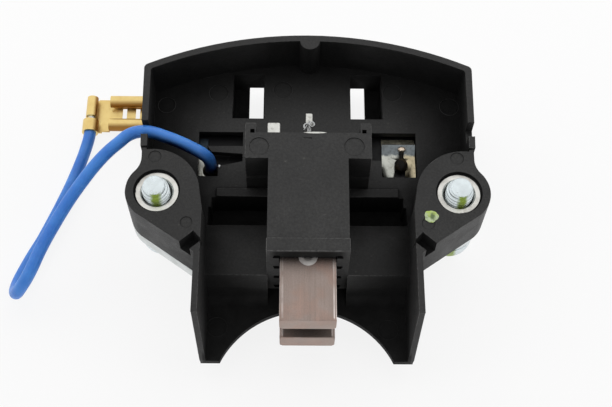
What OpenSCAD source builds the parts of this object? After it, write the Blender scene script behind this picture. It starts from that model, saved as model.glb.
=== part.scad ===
// Alternator voltage regulator with its brush holder.
// The open side of the housing faces +Z and the two mounting ears seat on the
// plane z = 0, with the bolt ends standing above it. +Y points away from the
// shaft and X runs through both bolt axes. The origin is half way between them.

/* [Mounting] */
// Distance between the two bolt axes
bolt_pitch = 55; // [54:0.5:58]
// Bolt thread diameter
bolt_d = 5; // [4:0.5:5]
// Bolt length under its head
bolt_len = 18; // [17:0.5:22]
// Outside diameter of the steel bushes in the ears
bush_d = 7.8; // [7.4:0.2:8.4]
// Wall of the steel bushes
bush_wall = 1.1; // [0.7:0.1:1.1]
// How far the bushes lie below the face of the ears
bush_drop = 0.7; // [0.3:0.1:1.5]
// Plastic left round a bush at the outer end of an ear
ear_rim = 1.85; // [1.5:0.05:2.5]
// Thickness of the plastic ears
ear_t = 10.4; // [9.5:0.1:11.5]
// Thickness of the earth plate behind the left ear
plate_t = 3.2; // [2:0.1:3.5]

/* [Housing] */
// Overall width of the upper shell
shell_w = 62.8; // [61:0.2:65]
// Radius of the curved top wall, outside
top_r = 73.4; // [68:0.2:80]
// Highest point of the top wall above the bolt line
top_y = 33.9; // [33:0.1:36]
// Depth of the shell and the skirt
shell_d = 16.4; // [16:0.1:18]
// Wall thickness of the upper shell
shell_wall = 1.3; // [1:0.1:1.6]
// Thickness of every floor
floor_t = 1.4; // [1:0.1:1.6]
// Width over the two legs of the skirt
skirt_w = 40.6; // [39:0.2:42]
// Wall thickness of the legs
skirt_wall = 1.1; // [0.8:0.1:1.4]
// Reach of the legs below the bolt line
skirt_y = 27.3; // [26:0.1:29]
// Radius of the shaft cut-out
arch_r = 17.7; // [17:0.1:18.2]
// Distance of the shaft axis below the bolt line
shaft_y = 34.9; // [34.6:0.1:36]
// Depth of the sunken panel between the legs, below the ear faces
panel_depth = 8; // [7:0.1:9.5]
// Width of each terminal window
window_w = 8.6; // [7:0.1:9]
// Height of each terminal window
window_h = 9.7; // [8:0.1:9.9]
// Width of each through window beside the top wall
slot_w = 2.9; // [2:0.1:3.2]
// Width of the notch in each side wall that the lead passes through
notch_w = 2.9; // [2.6:0.1:3.4]

/* [Brushes] */
// Width of a brush
brush_w = 10; // [8:0.2:10.6]
// Thickness of a brush
brush_t = 4.4; // [4:0.1:5]
// Length of a brush
brush_len = 20; // [18:0.5:22]
// Distance between the middles of the two brushes
brush_pitch = 9; // [8.6:0.1:9.6]
// How far the brushes stand out of the mouth
brush_out = 11.8; // [9:0.1:13]
// Gap between a brush and its guide, each side
brush_gap = 0.15; // [0.1:0.01:0.2]
// Width of the brush tower
tower_w = 14.6; // [13.6:0.1:15.4]
// How far the tower stands above the ear faces
tower_up = 2.5; // [1.5:0.1:3]
// Distance of the mouth below the bolt line
mouth_y = 13; // [12:0.1:14]
// Width of the cross piece of the brush holder
head_w = 23.2; // [22:0.2:24]
// Height of the cross piece, along the tower
head_h = 5.3; // [4.5:0.1:5.6]
// Thickness of the cross piece
head_t = 7.1; // [6:0.1:9]
// Thickness of the wall that ends the brush guides
guide_end = 1.2; // [0.8:0.1:1.8]

/* [Lead] */
// Outside diameter of the insulated lead
lead_d = 2.4; // [2:0.1:2.4]
// Width of the brass receptacle
tab_w = 8; // [7:0.1:8.4]
// Thickness of the brass sheet
brass_t = 0.4; // [0.3:0.05:0.5]

/* [Hidden] */
$fn = 48;

// Outline helpers: points along an arc, and a tube swept along a route
function arc(cx, cy, r, a0, a1, n) = [for (i = [0:n]) let (a = a0 + (a1 - a0) * i / n) [cx + r * cos(a), cy + r * sin(a)]];
function unit(v) = v / norm(v);
function heading(p, i) = unit(p[min(i + 1, len(p) - 1)] - p[max(i - 1, 0)]);
// A frame carried along the route, so that the tube doesn't twist
function carried(p, i, last) = let (t = heading(p, i), s = last - (last * t) * t) unit(s);
function sides(p, first) = [for (i = 0, s = carried(p, 0, first); i < len(p); i = i + 1, s = carried(p, min(i, len(p) - 1), s)) s];
module tube(p, d, n, first = [0, 0, 1]) {
    s = sides(p, first);
    m = len(p);
    pts = [for (i = [0:m - 1]) let (t = heading(p, i), b = cross(t, s[i])) for (k = [0:n - 1])
        p[i] + d / 2 * (cos(360 * k / n) * s[i] + sin(360 * k / n) * b)];
    skin = [for (i = [0:m - 2]) for (k = [0:n - 1]) let (a = i * n + k, b = i * n + (k + 1) % n) each [[a + n, b + n, b], [a + n, b, a]]];
    polyhedron(pts, concat([[for (k = [0:n - 1]) k]], skin, [[for (k = [n - 1:-1:0]) (m - 1) * n + k]]), convexity = 6);
}
module box(x0, x1, y0, y1, z0, z1) { translate([x0, y0, z0]) cube([x1 - x0, y1 - y0, z1 - z0]); }
module both_sides() { children(); mirror([1, 0, 0]) children(); }
module along_y(y0, y1) { translate([0, y1, 0]) rotate([90, 0, 0]) linear_extrude(y1 - y0) children(); }

// Levels and places that follow from the sizes above
bolt_x = bolt_pitch / 2;
bush_r = bush_d / 2;
ear_r = bush_r + ear_rim;
deck_z = floor_t - ear_t;
back_z = -shell_d;
low_z = floor_t - shell_d;
panel_z = -panel_depth;
half_w = shell_w / 2;
leg_x = skirt_w / 2;
leg_in = leg_x - skirt_wall;
leg_draft = 0.8;
top_cy = top_y - top_r;
head_y = 10.8;
foot_y = head_y - head_h - 0.35;
deck_y = 3.1;
trench_y = -3.2;
step_y = mouth_y + 0.2;
window_x = 16.82;
window_y = 12.45;
recess_y = 20.4;
recess_x = 8.5;
recess_w = 6.3;
tower_x = tower_w / 2;
stack_z = -ear_t - plate_t;
washer_t = 1;
lock_t = 1.3;
head_z = stack_z - washer_t - lock_t;
washer_r = bolt_d;
guide_w = brush_w + 2 * brush_gap;
guide_t = brush_t + 2 * brush_gap;
guide_floor = 1.25;
far_z = low_z + guide_floor + guide_t / 2;
near_z = far_z + brush_pitch;
brush_y = -mouth_y - brush_out;
tail_y = brush_y + brush_len;
guide_y = head_y - guide_end;
notch_y = 13.2;
notch_z = -3.25;
plate_z = -11;
strip_t = 0.4;

// Outline of the upper shell, drawn in by t from the outside. Its side walls
// lean in a little towards the ears.
side_in = 0.35;
function corner_y(t, c) = top_cy + sqrt(pow(top_r - t - c, 2) - pow(half_w - t - c, 2));
function shell_outline(t, y0, c) = let (x = half_w - t, r = top_r - t, cy = corner_y(t, c), a = atan2(cy - top_cy, x - c))
    concat([[side_in - x, y0], [x - side_in, y0]], arc(x - c, cy, c, 0, a, 4), arc(0, top_cy, r, a, 180 - a, 24), arc(c - x, cy, c, 180 - a, 180, 4));

// Outline of one ear, on the right. Its outer end is round about the bush and
// its inner edge is one large arc, and its lower edge runs down to the leg.
ear_in_r = 8.85;
ear_in_x = bolt_x + 1.1;
ear_in_y = -0.35;
// Hollow fillet where the side wall runs out into the ear
neck_r = 4;
neck_x = half_w - 0.75;
neck_y = sqrt(max(0.01, pow(ear_r + neck_r, 2) - pow(neck_x + neck_r - bolt_x, 2)));
neck_a = atan2(neck_y, neck_x + neck_r - bolt_x);
module ear_outline() {
    polygon(concat(
        [[neck_x, 9]],
        arc(neck_x + neck_r, neck_y, neck_r, 180, 180 + neck_a, 6),
        arc(bolt_x, 0, ear_r, neck_a, -50, 14),
        [[leg_x - 0.3, -12.2], [leg_x - 0.3, 0]],
        arc(ear_in_x, ear_in_y, ear_in_r, 175, 92, 12)));
}
module arch_edge() { translate([0, -shaft_y]) circle(r = arch_r, $fn = 96); }

module shell_body() {
    // upper shell
    translate([0, 0, back_z]) linear_extrude(shell_d) polygon(shell_outline(0, 9.2, 1));
    // deck between the ears
    box(-bolt_x, bolt_x, deck_y - 2, 10, -ear_t, 0);
    // skirt, with its legs cut back on a slope towards the shaft
    difference() {
        along_y(-skirt_y, 10) polygon([[-leg_x, 0], [leg_x, 0], [leg_x - leg_draft, back_z], [leg_draft - leg_x, back_z]]);
        rotate([90, 0, 90]) linear_extrude(skirt_w + 2, center = true)
            polygon([[-skirt_y - 1, low_z + 0.6], [-skirt_y, low_z + 0.6], [-skirt_y + 3.9, 0], [-skirt_y + 3.9, 1], [-skirt_y - 1, 1]]);
    }
    // walls of the module's chamber beside the skirt
    box(-module_x - shell_wall, module_x + shell_wall, module_y0 - shell_wall, 10, back_z, -ear_t);
    // ears
    both_sides() translate([0, 0, -ear_t]) linear_extrude(ear_t) ear_outline();
}
// Space between the drafted legs, down to level z0
module between_legs(y0, y1, z0) {
    d = leg_draft / shell_d;
    along_y(y0, y1) polygon([[-leg_in - d, 1], [leg_in + d, 1], [leg_in + d * z0, z0], [-leg_in - d * z0, z0]]);
}
// Everything that is hollowed out from the front
module front_hollows() {
    // upper pocket down to the deck, round the ears
    difference() {
        translate([0, 0, deck_z]) linear_extrude(1 - deck_z) difference() {
            polygon(shell_outline(shell_wall, deck_y, 0.6));
            both_sides() translate([ear_in_x, ear_in_y]) circle(r = ear_in_r);
            both_sides() translate([bolt_x + 3, 3]) square([10, 5.8]);
        }
        // half-round rib on the top wall
        translate([0.35, top_y - shell_wall, deck_z]) cylinder(r = 1.9, h = -deck_z);
        // rail along the front of the deck
        both_sides() box(tower_x - 1, leg_in - 1.9, deck_y - 1, deck_y + 1.8, deck_z - 1, deck_z + 0.4);
    }
    // trench between deck and panel, with a lug at each end
    difference() {
        between_legs(trench_y, deck_y + 0.1, low_z);
        both_sides() box(leg_in - 1, leg_in + 1, deck_y - 2, deck_y + 1, low_z - 1, deck_z);
        both_sides() box(0, leg_in + 1, deck_y, deck_y + 1, low_z - 1, deck_z);
        both_sides() box(tower_x - 1, leg_in - 1.9, deck_y, deck_y + 1, deck_z - 1, deck_z + 0.4);
    }
    // where the inner edge of the ear runs out into the leg
    both_sides() translate([0, 0, deck_z]) linear_extrude(1 - deck_z) difference() {
        polygon([[leg_in - 1, trench_y], [leg_in, trench_y], [ear_in_x - ear_in_r, 0], [leg_x + 1.5, deck_y], [leg_x + 1.5, deck_y + 0.1], [leg_in - 1, deck_y + 0.1]]);
        translate([ear_in_x, ear_in_y]) circle(r = ear_in_r);
    }
    // space over the panel
    between_legs(-skirt_y - 1, trench_y + 0.5, panel_z);
    // space over the lower floor, with a round foot to the step
    intersection() {
        between_legs(-skirt_y - 1, 0, low_z);
        rotate([90, 0, 90]) linear_extrude(2 * leg_x, center = true)
            polygon(concat([[-skirt_y - 1, 1], [-skirt_y - 1, low_z]], arc(-step_y - 3.4, low_z + 2, 2, 270, 342, 6), [[-step_y, panel_z], [-step_y, 1]]));
    }
    // recesses beside the through windows
    both_sides() box(recess_x, recess_x + recess_w, recess_y, 30.6, low_z, 1);
}
module back_hollows() {
    // behind the outer panels
    both_sides() translate([0, 0, back_z - 1]) linear_extrude(shell_d - ear_t + 1) intersection() {
        polygon(shell_outline(shell_wall, 9.2 + shell_wall, 0.6));
        union() {
            translate([window_x + window_w / 2 + 0.5 + shell_wall, 0]) square([20, recess_y - shell_wall]);
            translate([recess_x + recess_w + shell_wall, recess_y]) square([20, 20]);
        }
    }
    // behind the middle panel
    translate([0, 0, back_z - 1]) linear_extrude(shell_d - ear_t + 1) intersection() {
        polygon(shell_outline(shell_wall, 9.2, 0.6));
        translate([shell_wall - recess_x, recess_y]) square([2 * (recess_x - shell_wall), 20]);
    }
    // chamber of the potted module
    difference() {
        box(-module_x, module_x, module_y0, module_y1, back_z - 1, -ear_t);
        box(-tower_x - 1.2, tower_x + 1.2, 0, head_y + 1.2, back_z - 2, 0);
    }
    // way through for the earth plate
    box(-tongue_x1, -tongue_x0, 9, 12, stack_z, -ear_t);
    box(-tongue_x0 - 0.1, -module_x + 0.1, tongue_y0, tongue_y1, stack_z, -ear_t);
    // behind the sunken panel
    both_sides() box(tower_x + 1.2, leg_in - leg_draft, -step_y + floor_t, trench_y - floor_t, back_z - 1, panel_z - floor_t);
}
// A terminal window, with what is left standing in it
module window() {
    linear_extrude(30, center = true) difference() {
        translate([window_x - window_w / 2, window_y - window_h / 2]) square([window_w, window_h]);
        children();
    }
}
module right_window() {
    window() translate([window_x - window_w / 2 - 1, 0]) square([2.8, window_y - 1.25]);
}
module left_window() {
    mirror([1, 0, 0]) window() translate([window_x, window_y]) {
        polygon([[-5, -6], [0.38, -6], [0.38, -2.6], [-1.6, -2.25], [-5, -1.4]]);
        polygon([[-5, 0], [1.7, 0.5], [2.6, 1.55], [2.5, 1.7], [-5, 1.75]]);
    }
}
module_x = window_x + window_w / 2 + 0.5;
module_y0 = 6.6;
module_y1 = recess_y - shell_wall;
tongue_x0 = module_x + shell_wall;
tongue_y0 = 10.6;
tongue_y1 = 18;
tongue_x1 = half_w - shell_wall - 0.6;

module housing() {
    color([0.12, 0.12, 0.12]) difference() {
        shell_body();
        front_hollows();
        back_hollows();
        // shaft cut-out
        translate([0, 0, back_z - 1]) linear_extrude(shell_d + 2) arch_edge();
        // slot for the brush tower, open in front of the mouth
        box(-tower_x, tower_x, -mouth_y - 4, head_y, low_z, 1);
        // terminal windows and through windows
        right_window();
        left_window();
        both_sides() box(recess_x + 0.35, recess_x + 0.35 + slot_w, recess_y + 2, 32, back_z - 1, low_z + 1);
        // bush bores with a shallow counterbore
        both_sides() translate([bolt_x, 0, 0]) {
            translate([0, 0, -ear_t - 1]) cylinder(d = bush_d, h = ear_t + 2);
            translate([0, 0, -bush_drop]) cylinder(r = bush_r + 0.35, h = bush_drop + 1);
        }
        // notches in the side walls
        both_sides() box(half_w - shell_wall - 0.5, half_w + 1, notch_y - notch_w / 2, notch_y + notch_w / 2, notch_z, 1);
        // grooves between ear and leg
        both_sides() translate([leg_x + 0.6, -9.9, -3.2]) rotate([0, 0, -42]) translate([-1.6, -1.15, 0]) cube([5.4, 2.3, 5]);
        // slit between side wall and ear
        both_sides() box(half_w - shell_wall - 3, half_w + 1, 8.75, 9.2, -2.2, 1);
    }
}

module brush_holder() {
    color([0.14, 0.14, 0.14]) difference() {
        union() {
            box(-tower_x, tower_x, -mouth_y, head_y, low_z, tower_up);
            box(-head_w / 2, head_w / 2, head_y - head_h, head_y, tower_up - head_t, tower_up);
            // ramps under the cross piece, down to the deck
            both_sides() translate([tower_x, 0, 0]) rotate([90, 0, 90]) linear_extrude(head_w / 2 - tower_x)
                polygon([[foot_y + 1, tower_up - head_t], [head_y - 1, tower_up - head_t], [head_y - 1, deck_z], [foot_y, deck_z], [foot_y + 0.3, tower_up - head_t - 0.7]]);
            // corner posts
            both_sides() box(head_w / 2 - 2, head_w / 2, head_y, head_y + 2, tower_up - head_t, tower_up);
            // lip over the mouth
            box(-tower_x - 0.12, tower_x + 0.12, -mouth_y, 2.6 - mouth_y, panel_z, tower_up + 0.12);
        }
        for (z = [near_z, far_z]) {
            box(-guide_w / 2, guide_w / 2, -mouth_y - 1, guide_y, z - guide_t / 2, z + guide_t / 2);
            // relief along each corner of the guide
            for (e = [z - guide_t / 2, z + guide_t / 2 - 0.6])
                box(-guide_w / 2 - 1.1, guide_w / 2 + 1.1, -mouth_y - 1, guide_y, e, e + 0.6);
            // way out for the pigtail
            translate([0, guide_y - 1, z]) rotate([-90, 0, 0]) cylinder(r = 0.8, h = guide_end + 3, $fn = 24);
        }
        both_sides() box(head_w / 2 - 1.7, head_w / 2 - 0.9, head_y - 0.1, head_y + 0.7, tower_up - 2, tower_up + 1);
    }
}

module brush(z) {
    c = 0.5;
    w = brush_w / 2;
    t = brush_t / 2;
    color([0.66, 0.6, 0.57]) difference() {
        translate([0, 0, z]) along_y(brush_y, tail_y)
            polygon([[-w, c - t], [c - w, -t], [w - c, -t], [w, c - t], [w, t - c], [w - c, t], [c - w, t], [-w, t - c]]);
        children();
    }
}
plug_y = -mouth_y + 0.15;
module near_brush() { brush(near_z) translate([0, plug_y, near_z + brush_t / 2 - 1.2]) cylinder(r = 1.7, h = 2); }
module far_brush() { brush(far_z); }
module near_plug() {
    color([0.85, 0.78, 0.72]) translate([0, plug_y, near_z + brush_t / 2 - 1.2]) difference() {
        cylinder(r = 1.7, h = 1.2);
        translate([0, 0, 0.5]) cylinder(r = 0.8, h = 2);
    }
}

// A compression spring from the tail of a brush to the end of its guide
spring_wire = 0.4;
spring_r = 1.6;
coils = 9;
module spring(z) {
    n = 10 * coils;
    y0 = tail_y + spring_wire / 2;
    y1 = guide_y - spring_wire / 2;
    color([0.75, 0.75, 0.76]) tube([for (i = [0:n]) let (f = i / n, g = min(1, max(0, (f * coils - 0.7) / (coils - 1.4))))
        [spring_r * cos(360 * coils * f), y0 + (y1 - y0) * g, z + spring_r * sin(360 * coils * f)]], spring_wire, 6, [1, 0, 0]);
}
module near_spring() { spring(near_z); }
module far_spring() { spring(far_z); }

// Copper braid from the tail of a brush through the spring and out at the top
module pigtail(z, onward) {
    l = guide_y - tail_y;
    color([0.75, 0.45, 0.3]) tube(concat([[0, tail_y, z], [0.3, tail_y + 0.28 * l, z], [-0.3, tail_y + 0.56 * l, z], [0, tail_y + 0.86 * l, z], [0, guide_y, z], [0, head_y, z]], onward), 1, 8);
}
module near_pigtail() { pigtail(near_z, [[0.1, head_y + 1.5, near_z - 0.1], [weld_x, weld_y - 0.6, near_z - 0.2], [weld_x, weld_y, near_z - 0.2]]); }
module far_pigtail() { pigtail(far_z, []); }

module bush() {
    color([0.8, 0.8, 0.78]) translate([bolt_x, 0, -ear_t]) difference() {
        cylinder(d = bush_d, h = ear_t - bush_drop);
        translate([0, 0, -1]) cylinder(r = bush_r - bush_wall, h = ear_t + 2);
        translate([0, 0, ear_t - bush_drop - 0.3]) cylinder(r1 = bush_r - bush_wall, r2 = bush_r - bush_wall + 0.4, h = 0.4);
    }
}
module right_bush() { bush(); }
module left_bush() { mirror([1, 0, 0]) bush(); }

// Pan head bolt with a hexagon socket and a chamfered end. The end that stands
// above the ear is a little thicker than the shank.
pan_r = 0.95 * bolt_d;
pan_h = 0.74 * bolt_d;
shank_r = bolt_d / 2 - 0.18;
module bolt() {
    color([0.8, 0.83, 0.83]) translate([bolt_x, 0, head_z]) difference() {
        rotate_extrude() polygon(concat(
            [[0, bolt_len], [0, -pan_h]],
            [[pan_r - 1.6, -pan_h]], arc(pan_r - 1.6, 1.6 - pan_h, 1.6, 270, 360, 6),
            [[pan_r, 0], [shank_r, 0], [shank_r, -head_z], [bolt_d / 2, -head_z], [bolt_d / 2, bolt_len - 0.6], [bolt_d / 2 - 0.65, bolt_len]]));
        translate([0, 0, -pan_h - 1]) cylinder(d = 0.7 * bolt_d, h = 3.2, $fn = 6);
    }
}
module right_bolt() { bolt(); }
module left_bolt() { mirror([1, 0, 0]) bolt(); }
module ring(r1, r2, z0, z1) { translate([bolt_x, 0, z0]) difference() { cylinder(r = r2, h = z1 - z0); translate([0, 0, -1]) cylinder(r = r1, h = z1 - z0 + 2); } }
module washer() { color([0.78, 0.8, 0.8]) ring(bolt_d / 2 + 0.15, washer_r, stack_z - washer_t, stack_z); }
module right_washer() { washer(); }
module left_washer() { mirror([1, 0, 0]) washer(); }
// Split spring washer
module lock_washer() {
    color([0.7, 0.72, 0.72]) difference() {
        ring(bolt_d / 2 + 0.1, 0.92 * bolt_d, head_z, head_z + lock_t);
        translate([bolt_x, 0, head_z + lock_t / 2]) rotate([0, 0, 200]) rotate([25, 0, 0]) translate([bolt_d / 2 + 1, 0, 0]) cube([4, 0.5, 4], center = true);
    }
}
module right_lock_washer() { lock_washer(); }
module left_lock_washer() { mirror([1, 0, 0]) lock_washer(); }
module right_spacer() { color([0.82, 0.84, 0.84]) ring(bolt_d / 2 + 0.3, washer_r, stack_z, -ear_t); }

// Aluminium plate that earths the module through the left ear
module earth_plate() {
    color([0.8, 0.81, 0.82]) difference() {
        mirror([1, 0, 0]) translate([0, 0, stack_z]) linear_extrude(plate_t) polygon(concat(
            arc(bolt_x, 0, ear_r, 60, -50, 12),
            [[leg_x - 0.4, -12.5], [leg_x - 0.4, module_y0 - shell_wall - 0.1], [tongue_x0 + 0.1, module_y0 - shell_wall - 0.1],
            [tongue_x0 + 0.1, tongue_y0], [module_x, tongue_y0], [module_x, tongue_y1], [tongue_x1, tongue_y1], [tongue_x1, 9.1]]));
        mirror([1, 0, 0]) translate([bolt_x, 0, stack_z - 1]) cylinder(r = bolt_d / 2 + 0.3, h = plate_t + 2);
    }
}

// Potted electronics in the back of the housing
module regulator_module() {
    color([0.2, 0.2, 0.22]) difference() {
        box(-module_x, module_x, module_y0, module_y1, back_z + 0.4, plate_z - strip_t);
        box(-tower_x - 1.2, tower_x + 1.2, 0, head_y + 1.2, back_z - 2, 0);
    }
}

module left_terminal() {
    x0 = -window_x - window_w / 2 - 0.2;
    y0 = window_y - window_h / 2 + 0.1;
    color([0.78, 0.78, 0.76]) union() {
        box(x0, x0 + 4.3, y0, window_y + 0.6, plate_z - strip_t, plate_z);
        box(x0, x0 + 1.9, window_y, window_y + window_h / 2 - 0.4, plate_z - strip_t, plate_z);
    }
}
// Forked strip with a flap bent up behind its fold
module right_terminal() {
    x0 = window_x - window_w / 2 + 2;
    w = window_w - 2.1;
    fold = window_y + 1.05;
    color([0.78, 0.78, 0.76]) union() {
        difference() {
            box(x0, x0 + w, window_y - window_h / 2 + 0.1, window_y + window_h / 2 - 0.3, plate_z - strip_t, plate_z);
            box(x0 + 2.45, x0 + 4.5, 0, window_y - 0.9, plate_z - 1, plate_z + 1);
            translate([x0 + 3.475, window_y - 0.9, plate_z - 1]) cylinder(r = 1.025, h = 2);
        }
        translate([x0, 0, plate_z]) rotate([90, 0, 90]) linear_extrude(w)
            polygon([[fold, -strip_t], [fold + 0.3, -strip_t], [fold + 2, 0.75], [fold + 1.75, 1.1], [fold, 0]]);
    }
}
// Component lead that comes up between the legs of the fork
module hook_lead() {
    x = window_x + 1.38;
    y = window_y - 1.25;
    color([0.2, 0.18, 0.16]) union() {
        translate([x, y, plate_z]) cylinder(r1 = 1.3, r2 = 0.8, h = 1);
        tube([[x, y, plate_z - strip_t], [x, y, plate_z + 0.9], [x, y + 0.6, plate_z + 1.5], [x, y + 1.8, plate_z + 1.7], [x, y + 3.1, plate_z + 1.7]], 0.8, 8, [1, 0, 0]);
    }
}
module brush_tab() {
    color([0.85, 0.85, 0.83]) box(-tower_x - 0.3, 2.1 - tower_x, head_y, head_y + 2.8, 0.6, 1.4);
}
weld_x = 0.2;
weld_y = head_y + 3.9;
module weld_tab() {
    color([0.82, 0.82, 0.8]) union() {
        box(weld_x - 0.65, weld_x + 0.65, weld_y, weld_y + 0.6, deck_z, near_z + 0.4);
        box(weld_x - 0.65, weld_x + 0.65, weld_y, weld_y + 2.5, near_z + 0.4, near_z + 1);
    }
}
// Solder joint of the lead on the left terminal
joint_at = [-18.6, 8.9, -10.6];
module lead_joint() { color([0.7, 0.7, 0.7]) translate([joint_at[0], joint_at[1] + 0.9, plate_z]) cylinder(r1 = 1.7, r2 = 1.2, h = 0.8); }

// Route of the free lead: from the joint over the notch, out, round and back
lead_route = [
    [-18.6, 9.8, -10.2], [-18.6, 9.8, -8], [-18.9, 9.9, -6.3], [-19.9, 10.1, -4.7], [-21.6, 10.6, -3.6],
    [-24, 11.4, -2.7], [-27, 12.4, -2.2], [-29.4, 13.1, -2], [-31, 13.3, -2], [-33.5, 12.8, -2.3],
    [-35.5, 11.4, -2.9], [-37.7, 9.6, -3.6], [-39.8, 7.4, -4.4], [-41.8, 4.9, -5.3], [-43.7, 2.3, -6.2],
    [-45.5, -0.6, -7], [-47, -3.4, -7.6], [-48.5, -6.5, -8.1], [-49.6, -9.2, -8.4], [-50.4, -11.4, -8.7],
    [-51.4, -13.3, -9.5], [-52.6, -14.5, -11], [-53.7, -14.9, -12.9], [-54.5, -14.3, -14.8], [-55, -12.9, -16.5],
    [-54.9, -10.8, -17.6], [-54.2, -8.5, -18], [-52.9, -5.4, -18], [-51.4, -2.2, -18], [-49.9, 1.6, -18],
    [-48.4, 5.6, -18], [-46.9, 10, -18], [-45.7, 14.1, -18], [-44.7, 17.9, -17.8], [-44.1, 21.3, -17.6], [-44.1, 24.7, -17.6]];
crimp = lead_route[len(lead_route) - 1];
module lead_wire() { color([0.2, 0.42, 0.8]) tube(lead_route, lead_d, 8, [1, 0, 0]); }
strand_len = 5.4;
strand_r = 0.72;
module lead_strands() { color([0.78, 0.5, 0.35]) translate(crimp) rotate([-90, 0, 0]) cylinder(r = strand_r, h = strand_len); }

// Flag receptacle: two crimp barrels on a strip beside the rolled receptacle
bench_z = crimp[2] - lead_d / 2 - brass_t - 0.02;
module barrel(y0, y1, r) {
    translate([crimp[0], y0, crimp[2]]) rotate([-90, 0, 0]) difference() {
        cylinder(r = r + brass_t, h = y1 - y0);
        translate([0, 0, -1]) cylinder(r = r, h = y1 - y0 + 2);
    }
}
tab_x0 = -43;
tab_x1 = -32.2;
tab_y0 = 22.5;
module flag_terminal() {
    roll_r = 1.3;
    color([0.85, 0.68, 0.35]) union() {
        barrel(crimp[1] - 3, crimp[1] + 0.1, lead_d / 2 + 0.02);
        barrel(crimp[1] + 0.7, crimp[1] + strand_len - 0.2, strand_r + 0.02);
        difference() {
            union() {
                box(crimp[0] - 0.7, crimp[0] + 0.7, crimp[1] - 3, crimp[1] + strand_len - 0.2, bench_z, bench_z + brass_t);
                box(crimp[0] - 0.5, crimp[0] + 0.5, crimp[1] + 0.8, crimp[1] + strand_len - 0.4, bench_z, crimp[2] - strand_r - brass_t / 3);
                box(crimp[0], tab_x0 + 1, crimp[1] - 2.2, crimp[1] + strand_len - 0.1, bench_z, bench_z + brass_t);
                box(tab_x0, tab_x1, tab_y0 + roll_r, tab_y0 + tab_w - roll_r, bench_z, bench_z + brass_t);
                box(tab_x0, tab_x0 + 2.6, tab_y0 + 0.3, tab_y0 + tab_w - 0.3, bench_z, bench_z + brass_t);
            }
            for (x = [-38, -35.3]) box(x, x + 0.9, tab_y0 + 2.7, tab_y0 + tab_w - 2.2, bench_z - 1, bench_z + 1);
        }
        for (s = [0, 1]) translate([0, tab_y0 + s * tab_w, 0]) mirror([0, s, 0])
            translate([tab_x0 + 2.6, roll_r, bench_z + roll_r]) rotate([90, 0, 90]) linear_extrude(tab_x1 - tab_x0 - 2.6) difference() {
                circle(r = roll_r);
                circle(r = roll_r - brass_t);
                translate([0, -roll_r + brass_t]) square([roll_r + 1, roll_r * 0.6]);
            }
    }
}

housing();
brush_holder();
near_brush();
far_brush();
near_spring();
far_spring();
near_plug();
near_pigtail();
far_pigtail();
left_bush();
right_bush();
left_bolt();
right_bolt();
left_washer();
right_washer();
left_lock_washer();
right_lock_washer();
right_spacer();
earth_plate();
regulator_module();
left_terminal();
right_terminal();
brush_tab();
weld_tab();
hook_lead();
lead_joint();
lead_wire();
lead_strands();
flag_terminal();
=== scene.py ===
import math
import random

import bmesh
import bpy
from mathutils import Matrix, Vector


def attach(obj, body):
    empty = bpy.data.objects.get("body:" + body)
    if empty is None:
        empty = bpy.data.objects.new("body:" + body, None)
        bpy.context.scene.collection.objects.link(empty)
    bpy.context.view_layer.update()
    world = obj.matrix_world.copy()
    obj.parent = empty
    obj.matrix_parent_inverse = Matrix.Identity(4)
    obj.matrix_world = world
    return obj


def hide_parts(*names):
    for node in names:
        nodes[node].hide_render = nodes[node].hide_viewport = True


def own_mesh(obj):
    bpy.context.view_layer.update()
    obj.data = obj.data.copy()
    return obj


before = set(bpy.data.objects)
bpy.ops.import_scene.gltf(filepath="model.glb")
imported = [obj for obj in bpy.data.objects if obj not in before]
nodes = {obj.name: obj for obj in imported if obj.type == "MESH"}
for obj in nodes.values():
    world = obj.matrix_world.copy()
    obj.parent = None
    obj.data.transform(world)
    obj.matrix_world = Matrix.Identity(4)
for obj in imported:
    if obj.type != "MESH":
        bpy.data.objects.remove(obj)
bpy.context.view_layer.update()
mm = 0.001
print("regulator: packed model loaded")


def linked(name, data):
    made = bpy.data.objects.new(name, data)
    bpy.context.scene.collection.objects.link(made)
    return made


# Camera, at the photograph's angle
camera = {
    "focalPixels": 1138.37, "frameWidth": 612, "sensor": 36.0,
    "tilt": 0.4536311, "swing": -0.0122535, "roll": 0.0015176,
    "target": (-0.39398, -2.48506, 0.0), "distance": 205.555, "clip": (0.01, 10),
}


def addCamera():
    tilt, swing, roll = camera["tilt"], camera["swing"], camera["roll"]
    back = Vector((math.sin(swing), -math.sin(tilt) * math.cos(swing), math.cos(tilt) * math.cos(swing)))
    up = (Vector((0, 1, 0)) - back * back.y).normalized()
    right = (-back).cross(up)
    turnedRight = right * math.cos(roll) + up * math.sin(roll)
    turnedUp = up * math.cos(roll) - right * math.sin(roll)
    data = bpy.data.cameras.new("photoCamera")
    data.sensor_fit = "HORIZONTAL"
    data.sensor_width = camera["sensor"]
    data.lens = camera["focalPixels"] / camera["frameWidth"] * camera["sensor"]
    data.clip_start, data.clip_end = camera["clip"]
    seen = linked("photoCamera", data)
    place = (Vector(camera["target"]) + back * camera["distance"]) * mm
    turn = Matrix((turnedRight, turnedUp, back)).transposed().to_4x4()
    seen.matrix_world = Matrix.Translation(place) @ turn
    bpy.context.scene.camera = seen


addCamera()
print("regulator: camera placed")


# Shader helpers
def newMaterial(name, shaderType="ShaderNodeBsdfPrincipled"):
    made = bpy.data.materials.new(name)
    made.use_nodes = True
    tree = made.node_tree
    tree.nodes.clear()
    shader = tree.nodes.new(shaderType)
    output = tree.nodes.new("ShaderNodeOutputMaterial")
    tree.links.new(shader.outputs[0], output.inputs["Surface"])
    return made, tree, shader


def fill(tree, sockets, values):
    # each value is a number, a colour or a socket that leads here
    for name, value in values.items():
        if isinstance(value, (int, float)):
            sockets[name].default_value = value
        elif isinstance(value, tuple):
            sockets[name].default_value = (*value, 1.0)
        else:
            tree.links.new(value, sockets[name])


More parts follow.
